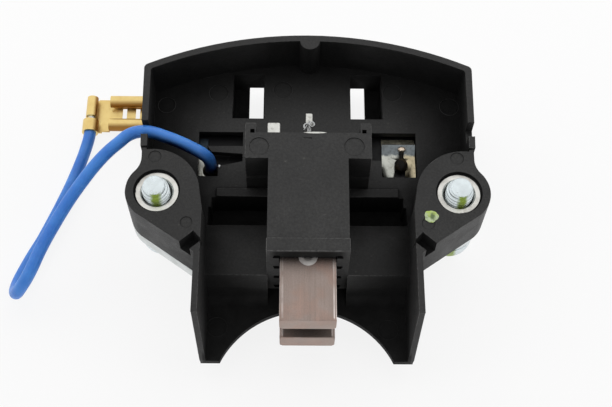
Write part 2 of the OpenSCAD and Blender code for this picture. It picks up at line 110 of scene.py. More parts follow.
skinOutputs = {"Color": "Color", "Roughness": "Float", "Normal": "Vector"}
maskOutput = {"Mask": "Float"}


def newGroup(name, inputs, outputs):
    tree = bpy.data.node_groups.new(name, "ShaderNodeTree")
    for label, value in inputs.items():
        kind = "Vector" if value is None else "Color" if isinstance(value, tuple) else "Float"
        socket = tree.interface.new_socket(label, in_out="INPUT", socket_type="NodeSocket" + kind)
        if value is not None:
            socket.default_value = (*value, 1.0) if kind == "Color" else value
    for label, kind in outputs.items():
        tree.interface.new_socket(label, in_out="OUTPUT", socket_type="NodeSocket" + kind)
    return tree, tree.nodes.new("NodeGroupInput").outputs, tree.nodes.new("NodeGroupOutput").inputs


def useGroup(tree, group, values):
    node = tree.nodes.new("ShaderNodeGroup")
    node.node_tree = group
    fill(tree, node.inputs, values)
    return node.outputs


def addMath(tree, operation, *values, clamp=False):
    node = tree.nodes.new("ShaderNodeMath")
    node.operation, node.use_clamp = operation, clamp
    fill(tree, node.inputs, dict(enumerate(values)))
    return node.outputs[0]


def product(tree, value, *factors, clamp=False):
    for factor in factors:
        value = addMath(tree, "MULTIPLY", value, factor, clamp=clamp)
    return value


def scaledSum(tree, value, scale, base, clamp=False):
    return addMath(tree, "MULTIPLY_ADD", value, scale, base, clamp=clamp)


def addMix(tree, share, first, second, blend="MIX"):
    node = tree.nodes.new("ShaderNodeMix")
    node.data_type, node.blend_type = "RGBA", blend
    fill(tree, node.inputs, {0: share, 6: first, 7: second})
    return node.outputs[2]


def addNoise(tree, scale, detail, roughness, vector):
    node = tree.nodes.new("ShaderNodeTexNoise")
    fill(tree, node.inputs, {"Scale": scale, "Detail": detail, "Roughness": roughness, "Vector": vector})
    return node.outputs[0]


def objectPlace(tree):
    return tree.nodes.new("ShaderNodeTexCoord").outputs["Object"]


def objectVector(tree, scale=(1, 1, 1), move=(0, 0, 0)):
    mapping = tree.nodes.new("ShaderNodeMapping")
    mapping.inputs["Scale"].default_value = scale
    mapping.inputs["Location"].default_value = move
    tree.links.new(objectPlace(tree), mapping.inputs["Vector"])
    return mapping.outputs[0]


def objectParts(tree):
    parts = tree.nodes.new("ShaderNodeSeparateXYZ")
    tree.links.new(objectVector(tree), parts.inputs[0])
    return parts.outputs


def distanceFrom(tree, place, scale=(1, 1, 1)):
    away = tree.nodes.new("ShaderNodeVectorMath")
    away.operation = "LENGTH"
    tree.links.new(objectVector(tree, scale, [-value * mm for value in place]), away.inputs[0])
    return away.outputs["Value"]


def addRange(tree, value, low, high, toLow=0.0, toHigh=1.0):
    node = tree.nodes.new("ShaderNodeMapRange")
    fill(tree, node.inputs, {"From Min": low, "From Max": high, "To Min": toLow, "To Max": toHigh})
    tree.links.new(value, node.inputs["Value"])
    return node.outputs[0]


def rangeMm(tree, value, span, toLow=0.0, toHigh=1.0):
    # span: where the result is low, then where it is high, in millimetres
    return addRange(tree, value, span[0] * mm, span[1] * mm, toLow, toHigh)


def centred(tree, noise):
    # the middle of a noise, spread from -0.5 to 0.5
    return addRange(tree, noise, 0.3, 0.7, -0.5, 0.5)


def addBump(tree, height, strength, distance):
    node = tree.nodes.new("ShaderNodeBump")
    fill(tree, node.inputs, {"Distance": distance, "Strength": strength, "Height": height})
    return node.outputs[0]


def addAttribute(tree, name):
    node = tree.nodes.new("ShaderNodeAttribute")
    node.attribute_name = name
    return node.outputs["Fac"]


def addCover(tree, samples, distance, onlyLocal=False):
    node = tree.nodes.new("ShaderNodeAmbientOcclusion")
    node.samples, node.only_local = samples, onlyLocal
    fill(tree, node.inputs, {"Distance": distance})
    return node.outputs["AO"]


# Moulded grain: cloudy tone, pores, fine spots and a fine bump
def makeMouldGrain():
    poreShare, wideSize, bumpDistance = 0.27, 55.0, 0.00005
    tree, given, out = newGroup("mouldGrain", {
        "Color": (0.02, 0.02, 0.02), "Light Color": (0.05, 0.05, 0.05), "Grain Size": 9000.0,
        "Cloud Size": 320.0, "Depth": 0.3, "Base Roughness": 0.5,
    }, skinOutputs)
    place = objectPlace(tree)
    fine = addNoise(tree, given["Grain Size"], 2.0, 0.6, place)
    pores = addNoise(tree, product(tree, given["Grain Size"], poreShare), 3.0, 0.65, place)
    cloud = addNoise(tree, given["Cloud Size"], 4.0, 0.6, place)
    wide = addNoise(tree, wideSize, 2.0, 0.5, place)
    spots = product(tree, addRange(tree, fine, 0.45, 0.75), 0.2)
    tone = scaledSum(tree, addRange(tree, cloud, 0.35, 0.72), 0.35, spots)
    tone = scaledSum(tree, addRange(tree, pores, 0.38, 0.66), 0.5, tone)
    tone = product(tree, tone, addRange(tree, wide, 0.3, 0.7, 0.55, 1.05))
    fill(tree, out, {
        "Color": addMix(tree, tone, given["Color"], given["Light Color"]),
        "Roughness": scaledSum(tree, centred(tree, cloud), 0.16, given["Base Roughness"]),
        "Normal": addBump(tree, scaledSum(tree, pores, 2.0, fine), given["Depth"], bumpDistance),
    })
    return tree


# Edge band: rounded edges of a dressed copy, broken up by noise
def makeEdgeBand():
    tree, given, out = newGroup("edgeBand", {"Amount": 0.5, "Break Up": 1500.0}, maskOutput)
    noise = addNoise(tree, given["Break Up"], 4.0, 0.6, objectPlace(tree))
    mask = product(tree, addAttribute(tree, "edgeBand"), addRange(tree, noise, 0.35, 0.6))
    fill(tree, out, {"Mask": product(tree, mask, given["Amount"], clamp=True)})
    return tree


# Dust and handling specks
def makeSpecks():
    patchSize = 170.0
    tree, given, out = newGroup("specks", {"Size": 1400.0, "Amount": 0.5, "Seed": 0.0}, maskOutput)
    shifted = tree.nodes.new("ShaderNodeVectorMath")
    fill(tree, shifted.inputs, {0: objectPlace(tree), 1: given["Seed"]})
    noise = addNoise(tree, given["Size"], 2.0, 0.5, shifted.outputs[0])
    patches = addNoise(tree, patchSize, 2.0, 0.5, shifted.outputs[0])
    mask = product(tree, addRange(tree, noise, 0.66, 0.76), addRange(tree, patches, 0.45, 0.7))
    fill(tree, out, {"Mask": product(tree, mask, given["Amount"], clamp=True)})
    return tree


# Metal surface: drawn or tumbled marks and tarnish
def makeMetalSkin():
    stainSize, bumpDistance = 420.0, 0.00003
    tree, given, out = newGroup("metalSkin", {
        "Color": (0.7, 0.7, 0.7), "Dull Color": (0.45, 0.45, 0.44), "Dullness": 0.5,
        "Vector": None, "Mark Size": 900.0, "Depth": 0.2, "Base Roughness": 0.3,
    }, skinOutputs)
    marks = addNoise(tree, given["Mark Size"], 4.0, 0.65, given["Vector"])
    stain = addNoise(tree, stainSize, 4.0, 0.62, objectPlace(tree))
    dull = product(tree, addRange(tree, stain, 0.42, 0.7), given["Dullness"], clamp=True)
    rough = scaledSum(tree, centred(tree, marks), 0.14, given["Base Roughness"])
    fill(tree, out, {
        "Color": addMix(tree, dull, given["Color"], given["Dull Color"]),
        "Roughness": scaledSum(tree, dull, 0.15, rough),
        "Normal": addBump(tree, marks, given["Depth"], bumpDistance),
    })
    return tree


# Hollows: painted shade, darker than the open faces within the occlusion's reach
def makeHollows():
    tree, given, out = newGroup("hollows", {"Reach": 0.014, "Open": 0.97, "Closed": 0.6}, maskOutput)
    cover = addCover(tree, 12, given["Reach"], onlyLocal=True)
    fill(tree, out, {"Mask": addRange(tree, cover, given["Open"], given["Closed"])})
    return tree


mouldGrain, edgeBand, specks = makeMouldGrain(), makeEdgeBand(), makeSpecks()
metalSkin, hollows = makeMetalSkin(), makeHollows()

plasticLooks = {
    "housingPlastic": {
        "dark": (0.015, 0.015, 0.015), "light": (0.0375, 0.037, 0.0364), "grain": 8200.0, "depth": 0.45,
        "edgeWearAndHighlight": 0.6, "seed": 0.0, "shine": 0.25, "hollow": 0.97,
    },
    "holderPlastic": {
        "dark": (0.018, 0.018, 0.018), "light": (0.045, 0.0445, 0.0437), "grain": 7200.0, "depth": 0.45,
        "edgeWearAndHighlight": 0.8, "seed": 0.31, "shine": 0.25, "hollow": 0.97,
    },
    "pottingResin": {
        "dark": (0.003, 0.003, 0.0035), "light": (0.007, 0.007, 0.0075), "grain": 2600.0, "depth": 0.25,
        "edgeWearAndHighlight": 0.0, "seed": 0.55, "shine": 0.2, "hollow": 0.6,
    },
}
plastic = {
    "roughness": 0.5, "hollowRoughness": 0.3, "edgeWearAndHighlightLift": 2.6, "speckAmount": 0.35,
    "speckColor": (0.12, 0.115, 0.105),
    # colour of the painted shade in the hollows, round the shaft and under the mouth's lip
    "hollowShadeColor": (0.0006, 0.0006, 0.0006),
    # painted shade: the hollows grow darker between these levels
    "deepLevels": (-11.5, -14),
    "deepGain": 2.4,
}
# painted shade round the shaft: distances from its axis, then Y and levels, each from none to most
shaftShade = {
    "axis": (0, -34.9, 0), "rim": (18.25, 17.85), "rimAmount": 0.93, "inside": (19.15, 18.9),
    "floor": (31, 20), "floorAmount": 0.8, "floorLevels": (-11.5, -13),
    "panel": (-10, -2.9), "panelAmount": 0.88, "panelTop": (-7, -7.8), "panelBottom": (-8.8, -8.3),
}
# painted shadow as a black band over the near brush, under the lip of the mouth
mouthShadow = {
    "half": (7.0, 5.6), "amount": 0.9, "top": (2.4, 2.1), "bottom": (-0.7, -0.2), "front": (-12.7, -12.85),
}


# painted shade on the arch's inner wall, the lower floor and the panel
def shaftShadeMask(tree, parts):
    reach = distanceFrom(tree, shaftShade["axis"], (1, 1, 0))
    rim = rangeMm(tree, reach, shaftShade["rim"], 0.0, shaftShade["rimAmount"])
    low = product(
        tree,
        rangeMm(tree, reach, shaftShade["floor"], 0.0, shaftShade["floorAmount"]),
        rangeMm(tree, parts["Z"], shaftShade["floorLevels"]),
    )
    panel = product(
        tree,
        rangeMm(tree, parts["Y"], shaftShade["panel"], 0.0, shaftShade["panelAmount"]),
        rangeMm(tree, parts["Z"], shaftShade["panelTop"]),
        rangeMm(tree, parts["Z"], shaftShade["panelBottom"]),
    )
    inside = rangeMm(tree, addMath(tree, "ABSOLUTE", parts["X"]), shaftShade["inside"])
    floors = product(tree, addMath(tree, "MAXIMUM", low, panel), inside)
    return addMath(tree, "MAXIMUM", rim, floors)


# painted shadow under the lip of the mouth
def mouthShadowMask(tree, parts):
    across = addMath(tree, "ABSOLUTE", parts["X"])
    return product(
        tree,
        rangeMm(tree, parts["Z"], mouthShadow["top"]),
        rangeMm(tree, parts["Z"], mouthShadow["bottom"]),
        rangeMm(tree, across, mouthShadow["half"], 0.0, mouthShadow["amount"]),
        rangeMm(tree, parts["Y"], mouthShadow["front"]),
    )


# masks of painted shade for each plastic
paintedShadeMasks = {"housingPlastic": shaftShadeMask, "holderPlastic": mouthShadowMask}


def makePlastic(name):
    look = plasticLooks[name]
    made, tree, shader = newMaterial(name)
    skin = useGroup(tree, mouldGrain, {
        "Color": look["dark"], "Light Color": look["light"], "Grain Size": look["grain"],
        "Depth": look["depth"], "Base Roughness": plastic["roughness"],
    })
    # rounded edges turn paler: wear, and a painted highlight where the rounds catch the light
    paleEdge = useGroup(tree, edgeBand, {"Amount": look["edgeWearAndHighlight"]})["Mask"]
    dust = useGroup(tree, specks, {"Amount": plastic["speckAmount"], "Seed": look["seed"]})["Mask"]
    color = addMix(tree, paleEdge, skin["Color"], tuple(value * plastic["edgeWearAndHighlightLift"] for value in look["light"]))
    color = addMix(tree, dust, color, plastic["speckColor"])
    # painted shade: darker in the hollows, deeper down, round the shaft and under the mouth's lip
    parts, hollow = objectParts(tree), look["hollow"]
    deep = rangeMm(tree, parts["Z"], plastic["deepLevels"], hollow, plastic["deepGain"] * hollow)
    paintedShade = product(tree, useGroup(tree, hollows, {})["Mask"], deep, clamp=True)
    if name in paintedShadeMasks:
        paintedShade = addMath(tree, "MAXIMUM", paintedShadeMasks[name](tree, parts), paintedShade)
    fill(tree, shader.inputs, {
        "Base Color": addMix(tree, paintedShade, color, plastic["hollowShadeColor"]),
        "Roughness": scaledSum(tree, paintedShade, plastic["hollowRoughness"], skin["Roughness"], clamp=True),
        "Normal": skin["Normal"],
        "IOR": 1.5,
        "Specular IOR Level": look["shine"],
    })
    return made


# colour, dull colour, dullness, roughness, then size, depth and stretch of the marks
metalLooks = {
    "bushSteel": ((0.80, 0.79, 0.75), (0.46, 0.44, 0.40), 0.55, 0.40, 1500.0, 0.5, (1, 1, 1)),
    "boltZinc": ((0.74, 0.81, 0.83), (0.50, 0.54, 0.55), 0.45, 0.30, 1100.0, 0.3, (1, 1, 1)),
    "washerZinc": ((0.72, 0.76, 0.77), (0.48, 0.50, 0.50), 0.5, 0.34, 1200.0, 0.3, (1, 1, 1)),
    "plateAluminium": ((0.70, 0.72, 0.72), (0.50, 0.53, 0.50), 0.6, 0.42, 800.0, 0.35, (1, 12, 1)),
    "springSteel": ((0.60, 0.60, 0.61), (0.35, 0.34, 0.33), 0.5, 0.28, 2500.0, 0.2, (1, 1, 1)),
    "solderAlloy": ((0.72, 0.73, 0.74), (0.42, 0.42, 0.43), 0.6, 0.26, 700.0, 0.35, (1, 1, 1)),
    "brassStrip": ((0.85, 0.65, 0.27), (0.74, 0.52, 0.19), 0.6, 0.34, 420.0, 0.08, (1, 6, 1)),
    "tinnedStrands": ((0.72, 0.76, 0.80), (0.50, 0.46, 0.42), 0.5, 0.3, 2500.0, 0.2, (1, 1, 1)),
    "plugCopper": ((0.62, 0.60, 0.58), (0.42, 0.38, 0.36), 0.6, 0.38, 2600.0, 0.4, (1, 1, 1)),
}
metalEdge = {"Amount": 0.35, "Break Up": 2500.0}
metalLift = 1.15
brassShade = (0.33, 0.165, 0.04)


def metalSurface(tree, color, dull, dullness, roughness, marks, depth, stretch):
    return useGroup(tree, metalSkin, {
        "Color": color, "Dull Color": dull, "Dullness": dullness, "Vector": objectVector(tree, stretch),
        "Mark Size": marks, "Depth": depth, "Base Roughness": roughness,
    })


def makeMetal(name):
    base, dull = metalLooks[name][:2]
    made, tree, shader = newMaterial(name)
    skin = metalSurface(tree, *metalLooks[name])
    paleEdge = useGroup(tree, edgeBand, metalEdge)["Mask"]
    color = addMix(tree, paleEdge, skin["Color"], tuple(min(1.0, value * metalLift) for value in base))
    shade = brassShade if name == "brassStrip" else dull
    color = addMix(tree, addAttribute(tree, "formShade"), color, shade)
    fill(tree, shader.inputs, {
        "Base Color": color,
        "Roughness": skin["Roughness"],
        "Normal": skin["Normal"],
        "Metallic": 1.0,
    })
    return made, tree, shader, color


materials = {name: makePlastic(name) for name in plasticLooks}
for metalName in metalLooks:
    if metalName != "boltZinc":
        materials[metalName] = makeMetal(metalName)[0]
print("regulator: plastics and metals ready")


# Mesh helpers. Every finished piece has its place in its mesh and its object at the origin.
dressing = {
    "segments": 2, "sharpAngle": 28, "flatAngle": 0.6, "smoothAngle": 50, "markDepth": 0.11,
    # edges this close to an ejector mark keep their shape
    "markLevel": 0.3, "markMargin": 0.02,
}


def addPiece(mesh, name, material, replaced=(), body="housing"):
    piece = linked(name, mesh)
    mesh.materials.clear()
    mesh.materials.append(materials[material] if isinstance(material, str) else material)
    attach(piece, body)
    if replaced:
        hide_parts(*replaced)
    return piece


def meshFrom(bm, name, smoothAngle=35):
    mesh = bpy.data.meshes.new(name)
    bm.to_mesh(mesh)
    bm.free()
    mesh.shade_smooth()
    mesh.set_sharp_from_angle(angle=math.radians(smoothAngle))
    return mesh


def mergedCopy(node):
    bm = bmesh.new()
    bm.from_mesh(nodes[node].data)
    bmesh.ops.remove_doubles(bm, verts=bm.verts, dist=0.000002)
    bmesh.ops.dissolve_degenerate(bm, edges=bm.edges, dist=0.000005)
    flat = math.radians(dressing["flatAngle"])
    bmesh.ops.dissolve_limit(bm, angle_limit=flat, verts=bm.verts, edges=bm.edges)
    return bm


def nearMark(edge, marks):
    middle = (edge.verts[0].co + edge.verts[1].co) / 2 / mm
    return any(
        abs(middle.z - level) < dressing["markLevel"]
        and math.hypot(middle.x - x, middle.y - y) < radius + dressing["markMargin"]
        for x, y, level, radius in marks
    )


def isSharp(edge):
    return len(edge.link_faces) == 2 and edge.calc_face_angle(0) > math.radians(dressing["sharpAngle"])


def bevel(bm, edges, width, segments, offsetType):
    return bmesh.ops.bevel(
        bm, geom=edges, offset=width * mm, offset_type=offsetType, segments=segments,
        profile=0.5, affect="EDGES", material=-1,
    )["faces"]


def roundEdges(bm, width, marks=()):
    band = bm.faces.layers.float.new("edgeBand")
    if not width:
        return bm
    sharp = [edge for edge in bm.edges if isSharp(edge) and not nearMark(edge, marks)]
    source = bm.faces.layers.int.new("source")
    outlines = []
    for place, face in enumerate(bm.faces):
        face[source] = place
        outlines.append([vert.co.copy() for vert in face.verts])
    for face in bevel(bm, sharp, width, dressing["segments"], "ABSOLUTE"):
        face[band] = 1.0
    # a corner between two nearly straight edges can run off: it goes back to its face's own corner
    for face in bm.faces:
        for vert in face.verts if not face[band] else ():
            near = min(outlines[face[source]], key=lambda corner: (corner - vert.co).length)
            if (near - vert.co).length > (3 * width + 0.1) * mm:
                vert.co = near
    return bm


def baked(piece):
    # keeps what the piece's modifiers show as its own mesh
    graph = bpy.context.evaluated_depsgraph_get()
    graph.update()
    shown = bpy.data.meshes.new_from_object(
        piece.evaluated_get(graph), preserve_all_data_layers=True, depsgraph=graph
    )
    shown.name = piece.name
    piece.modifiers.clear()
    piece.data = shown


def dressNode(node, name, material, width, marks=(), cuts=(), body="housing"):
    piece = addPiece(meshFrom(mergedCopy(node), name), name, material, [node], body)
    if marks or cuts:
        carve(piece, marks, cuts)
    bm = bmesh.new()
    bm.from_mesh(piece.data)
    piece.data = meshFrom(roundEdges(bm, width, marks), name, dressing["smoothAngle"])
    piece.data.materials.append(materials[material])
    finish = piece.modifiers.new("evenShading", "WEIGHTED_NORMAL")
    finish.mode, finish.weight, finish.keep_sharp = "FACE_AREA", 100, True
    baked(piece)
    return piece


def carve(piece, marks, cuts):
    # shallow round recesses, as ejector pins leave, and square pockets
    bm = bmesh.new()
    for low, high in cuts:
        boxInto(bm, low, high)
    for x, y, level, radius in marks:
        bmesh.ops.create_cone(
            bm, cap_ends=True, segments=40, radius1=radius * mm, radius2=radius * mm,
            depth=2 * dressing["markDepth"] * mm, matrix=Matrix.Translation(Vector((x, y, level)) * mm),
        )
    cutter = linked("cutter", meshFrom(bm, "cutter"))
    change = piece.modifiers.new("cut", "BOOLEAN")
    change.operation, change.solver, change.object = "DIFFERENCE", "EXACT", cutter
    baked(piece)
    bpy.data.objects.remove(cutter)


def flashRings(marks, name, seed):
    # raised line of flash round an ejector mark, uneven along its length
    rise, half, foot = 0.05, 0.065, -0.02
    section = ((-half, foot), (-half / 2, rise), (half / 2, rise * 0.8), (half, foot))
    chance = random.Random(seed)
    bm = bmesh.new()
    for x, y, level, radius in marks:
        outline = [(radius + across, height) for across, height in section]
        spunInto(bm, outline, (x, y, level), closed=True)
    bmesh.ops.remove_doubles(bm, verts=bm.verts, dist=0.000002)
    bmesh.ops.recalc_face_normals(bm, faces=bm.faces)
    for vert in bm.verts:
        vert.co.z -= rise * mm * chance.uniform(0, 0.6)
    return meshFrom(bm, name)


# Shapes for new pieces, in millimetres
def boxInto(bm, low, high):
    middle = Vector([(a + b) / 2 for a, b in zip(low, high)]) * mm
    sides = Matrix.Diagonal([*[(b - a) * mm for a, b in zip(low, high)], 1.0])
    return bmesh.ops.create_cube(bm, size=1.0, matrix=Matrix.Translation(middle) @ sides)["verts"]


def ballInto(bm, middle, radii, segments=24):
    sides = Matrix.Diagonal([*[radius * mm for radius in radii], 1.0])
    place = Matrix.Translation(Vector(middle) * mm) @ sides
    counts = {"u_segments": segments, "v_segments": segments // 2}
    return bmesh.ops.create_uvsphere(bm, radius=1.0, matrix=place, **counts)["verts"]


def rodInto(bm, start, end, startRadius, endRadius, segments=16):
    start, end = Vector(start) * mm, Vector(end) * mm
    turn = (end - start).to_track_quat("Z", "Y").to_matrix().to_4x4()
    bmesh.ops.create_cone(
        bm, cap_ends=True, segments=segments, radius1=startRadius * mm, radius2=endRadius * mm,
        depth=(end - start).length, matrix=Matrix.Translation((start + end) / 2) @ turn,
    )


def spunInto(bm, outline, middle, axis=(0, 0, 1), degrees=360, steps=48, closed=False, rise=0.0):
    # turns an outline of radius and height about an axis, and along it where it rises
    axis = Vector(axis)
    places = [Vector(middle) + Vector((radius, 0, 0)) + axis * height for radius, height in outline]
    verts = [bm.verts.new(place * mm) for place in places]
    pairs = list(zip(verts, verts[1:])) + ([(verts[-1], verts[0])] if closed else [])
    edges = [bm.edges.new(pair) for pair in pairs]
    bmesh.ops.spin(
        bm, geom=verts + edges, cent=Vector(middle) * mm, axis=axis, dvec=axis * (rise / steps * mm),
        angle=math.radians(degrees), steps=steps, use_merge=degrees == 360 and not rise,
    )


def closedMesh(bm, name, smoothAngle=35):
    bmesh.ops.remove_doubles(bm, verts=bm.verts, dist=0.000001)
    bmesh.ops.recalc_face_normals(bm, faces=bm.faces)
    return meshFrom(bm, name, smoothAngle)


# Housing
housing = {
    "edge": 0.14,
    # ejector marks: x, y, level, radius
    "marks": [
        (-27.73, 23.29, -9, 1.75), (-17.58, 26.16, -9, 1.9), (-4.88, 26.99, -9, 1.9),
        (16.81, 26.51, -9, 1.9), (28.01, 23.39, -9, 1.9),
        (-16.64, -20.76, -15, 1.9), (15.05, -21.14, -15, 1.9),
    ],
    "earMarks": [
        (-28.2, 6.94, 0, 1.2), (-21.85, -6.34, 0, 1.1), (27.48, 6.98, 0, 1.25), (21.6, -6.29, 0, 1.2),
    ],
}
dressNode(
    "housing", "housingMoulding", "housingPlastic", housing["edge"],
    marks=housing["marks"] + housing["earMarks"],
)
flash = flashRings(housing["marks"], "housingFlash", 11)
addPiece(flash, "housingFlash", "housingPlastic")
print("regulator: housing dressed")


# Brush holder
holder = {
    "edge": 0.13,
    "marks": [(-9.02, 7.9, 2.5, 1.85), (8.42, 7.96, 2.5, 1.9)],
    # pockets at the corners of the brush guides: inner and outer x, middle levels
    "pockets": {
        "near": 4.95, "far": 6.1, "levels": (-0.05, -4.8, -9.25, -13.9),
        "half": 0.6, "front": -13.4, "back": -11.6,
    },
    # nick in the top face, behind the middle
    "nick": ((-0.95, 9.45, 2.38), (0.6, 9.8, 3)),
}
# ragged flash along the joint of the mould, and the rough spot where its gate was
seam = {
    "left": -6.7, "right": 7.0, "line": -10.63, "top": 2.5,
    "count": 46, "overlap": 1.25, "narrow": 0.09, "wide": 0.16, "wideSpan": (-0.6, 2.9),
    "spots": 26, "gate": (1.4, -10.9), "gateSize": (1.5, 2.0),
}


def guidePockets():
    pocket = holder["pockets"]
    near, far, half = pocket["near"], pocket["far"], pocket["half"]
    cuts = []
    for low, high in ((-far, -near), (near, far)):
        for level in pocket["levels"]:
            cuts.append(((low, pocket["front"], level - half), (high, pocket["back"], level + half)))
    return cuts


def makeHolderSeam():
    chance = random.Random(7)
    bm = bmesh.new()
    length, count = seam["right"] - seam["left"], seam["count"]
    line, top = seam["line"], seam["top"]
    for place in range(count):
        x = seam["left"] + length * place / count
        wide = seam["wide"] if seam["wideSpan"][0] < x < seam["wideSpan"][1] else seam["narrow"]
        shift = chance.uniform(-0.07, 0.07)
        high = (x + length / count * seam["overlap"], line + shift + wide, top + chance.uniform(0.01, 0.06))
        boxInto(bm, (x, line + shift - wide, top - 0.1), high)
    for spot in range(seam["spots"]):
        x = seam["gate"][0] + seam["gateSize"][0] * chance.uniform(0, 1) + chance.uniform(-0.25, 0.35)
        y = seam["gate"][1] - seam["gateSize"][1] * chance.uniform(0, 1)
        radii = (chance.uniform(0.12, 0.3), chance.uniform(0.12, 0.34), chance.uniform(0.03, 0.09))
        ballInto(bm, (x, y, top), radii, segments=10)
    return closedMesh(bm, "holderSeam")


dressNode(
    "brush_holder", "brushTower", "holderPlastic", holder["edge"],
    marks=holder["marks"], cuts=guidePockets() + [holder["nick"]],
)
flash = flashRings(holder["marks"], "holderFlash", 21)
addPiece(flash, "holderFlash", "holderPlastic")
addPiece(makeHolderSeam(), "holderSeam", "holderPlastic")
print("regulator: brush holder dressed")


# Brushes of copper graphite, with fine grinding lines across them
brushes = {
    "edge": 0.22, "plugEdge": 0.1,
    "pink": (0.46, 0.31, 0.255), "color": (0.42, 0.34, 0.302), "dark": (0.27, 0.212, 0.186),
    "lines": (2600, 60, 2600),
    # painted highlight on the pale side edges, and painted shade on the darker end, by Y
    "sideHighlightSpan": (-24.5, -24.2), "edgeHighlightColor": (0.82, 0.73, 0.69), "edgeBreak": 90.0,
    "end": (-24.7, -25.0), "endShadeAmount": 0.45,
    # painted shadow and brush dust: the far brush's top lies in the near one's shadow and is blackened
    "shelf": (-9.24, -9.17), "shelfAmount": 0.8, "shelfBelow": (-6, -7),
    "shelfShadowColor": (0.035, 0.024, 0.019),
    "shadeReach": 0.01, "shadeColor": (0.012, 0.009, 0.008),
}


def makeBrushMaterial():
    made, tree, shader = newMaterial("brushCarbon")
    place, parts = objectVector(tree), objectParts(tree)
    across = addNoise(tree, 1.0, 3.0, 0.7, objectVector(tree, brushes["lines"]))
    fine = addNoise(tree, 5200.0, 3.0, 0.7, place)
    cloud = addNoise(tree, 260.0, 3.0, 0.6, place)
    patches = addRange(tree, addNoise(tree, 150.0, 3.0, 0.6, place), 0.44, 0.56)
    spots = product(tree, addRange(tree, fine, 0.35, 0.65), 0.5)
    tone = scaledSum(tree, addRange(tree, across, 0.35, 0.65), 0.32, spots)
    tone = scaledSum(tree, centred(tree, cloud), 0.3, tone, clamp=True)
    band = useGroup(tree, edgeBand, {"Amount": 1.0, "Break Up": brushes["edgeBreak"]})["Mask"]
    # painted highlight along the side edges
    sides = product(tree, band, rangeMm(tree, parts["Y"], brushes["sideHighlightSpan"]))
    # painted shade on the end face
    end = rangeMm(tree, parts["Y"], brushes["end"], 0.0, brushes["endShadeAmount"])
    # painted shadow of the near brush, with brush dust, on the far brush's top
    shelf = product(
        tree,
        rangeMm(tree, parts["Z"], brushes["shelf"], 0.0, brushes["shelfAmount"]),
        rangeMm(tree, parts["Z"], brushes["shelfBelow"]),
    )
    shaded = addRange(tree, addCover(tree, 8, brushes["shadeReach"]), 0.82, 0.5)
    color = addMix(tree, patches, brushes["color"], brushes["pink"])
    color = addMix(tree, tone, brushes["dark"], color)
    color = addMix(tree, sides, color, brushes["edgeHighlightColor"])
    color = addMix(tree, end, color, brushes["dark"])
    color = addMix(tree, shelf, color, brushes["shelfShadowColor"])
    fill(tree, shader.inputs, {
        "Base Color": addMix(tree, shaded, color, brushes["shadeColor"]),
        "Roughness": addRange(tree, across, 0.3, 0.7, 0.46, 0.6),
        "Normal": addBump(tree, scaledSum(tree, fine, 0.5, across), 0.35, 0.00002),
        "Specular IOR Level": 0.25,
    })
    return made


materials["brushCarbon"] = makeBrushMaterial()
dressNode("near_brush", "nearBrush", "brushCarbon", brushes["edge"], body="near_brush")
dressNode("far_brush", "farBrush", "brushCarbon", brushes["edge"], body="far_brush")
dressNode("near_plug", "nearPlug", "plugCopper", brushes["plugEdge"], body="near_brush")
print("regulator: brushes dressed")


# Dot of inspection paint on the right ear, a ring of pale green that ran thin in the middle
paint = {
    "place": (22.17, -4.88, 0),
    "squash": 1.18 / 1.27,
    "outline": [(0, 0.025), (0.7, 0.03), (0.95, 0.07), (1.15, 0.06), (1.24, 0.03), (1.27, -0.02)],
    # waves of the ragged edge: how many, how high, and their start
    "waves": [(3, 0.06, 1), (5, 0.04, 2), (9, 0.03, 0)],
    "ring": (0.4, 0.9),
    "thin": (0.11, 0.16, 0.06), "thick": (0.47, 0.56, 0.33), "green": (0.42, 0.55, 0.12),
}


def makePaintMaterial():
    made, tree, shader = newMaterial("paintGreen")
    place = objectVector(tree)
    stain = addNoise(tree, 900.0, 4.0, 0.6, place)
    reach = scaledSum(tree, centred(tree, stain), 0.0009, distanceFrom(tree, paint["place"]))
    color = addMix(tree, rangeMm(tree, reach, paint["ring"]), paint["thin"], paint["thick"])
    fresh = addRange(tree, addNoise(tree, 420.0, 2.0, 0.5, place), 0.5, 0.62)
    color = addMix(tree, fresh, color, paint["green"])
    fill(tree, shader.inputs, {
        "Base Color": color,
        "Roughness": addRange(tree, stain, 0.3, 0.7, 0.3, 0.5),
        "Normal": addBump(tree, stain, 0.4, 0.00005),
        "IOR": 1.5,
        "Specular IOR Level": 0.4,
    })
    return made


def makePaintDot():
    bm = bmesh.new()
    spunInto(bm, paint["outline"], paint["place"])
    middle = Vector(paint["place"]) * mm
    for vert in bm.verts:
        away = vert.co - middle
        turn = math.atan2(away.y, away.x)
        waves = [height * math.sin(number * turn + start) for number, height, start in paint["waves"]]
        ragged = 1 + sum(waves)
        vert.co.x = middle.x + away.x * ragged
        vert.co.y = middle.y + away.y * ragged * paint["squash"]
    return closedMesh(bm, "paintDot")


addPiece(makePaintDot(), "paintDot", makePaintMaterial())


# Tin that has been soldered, in zones: each zone is an axis, where it starts and ends in mm, and its colour;
# some zones are painted light or shade
zonedTins = {
    "rightTin": ((0.54, 0.55, 0.50), [
        ("X", (18.4, 18.9), (0.53, 0.46, 0.31)),
        ("Y", (13.1, 13.6), (0.17, 0.19, 0.20)),
        # painted light: the strip beyond the flap is made paler than the window's shade lets it look
        ("Y", (15.4, 15.8), (0.85, 0.80, 0.62)),
    ]),
    # the left strip is painted shade above Y 13
    "leftTin": ((0.74, 0.74, 0.67), [("Y", (12.6, 13.4), (0.03, 0.04, 0.05))]),
    "tabTin": ((0.74, 0.74, 0.70), []),
    "tipCopper": ((0.86, 0.72, 0.58), []),
    "tinnedBraid": ((0.52, 0.53, 0.53), []),
}


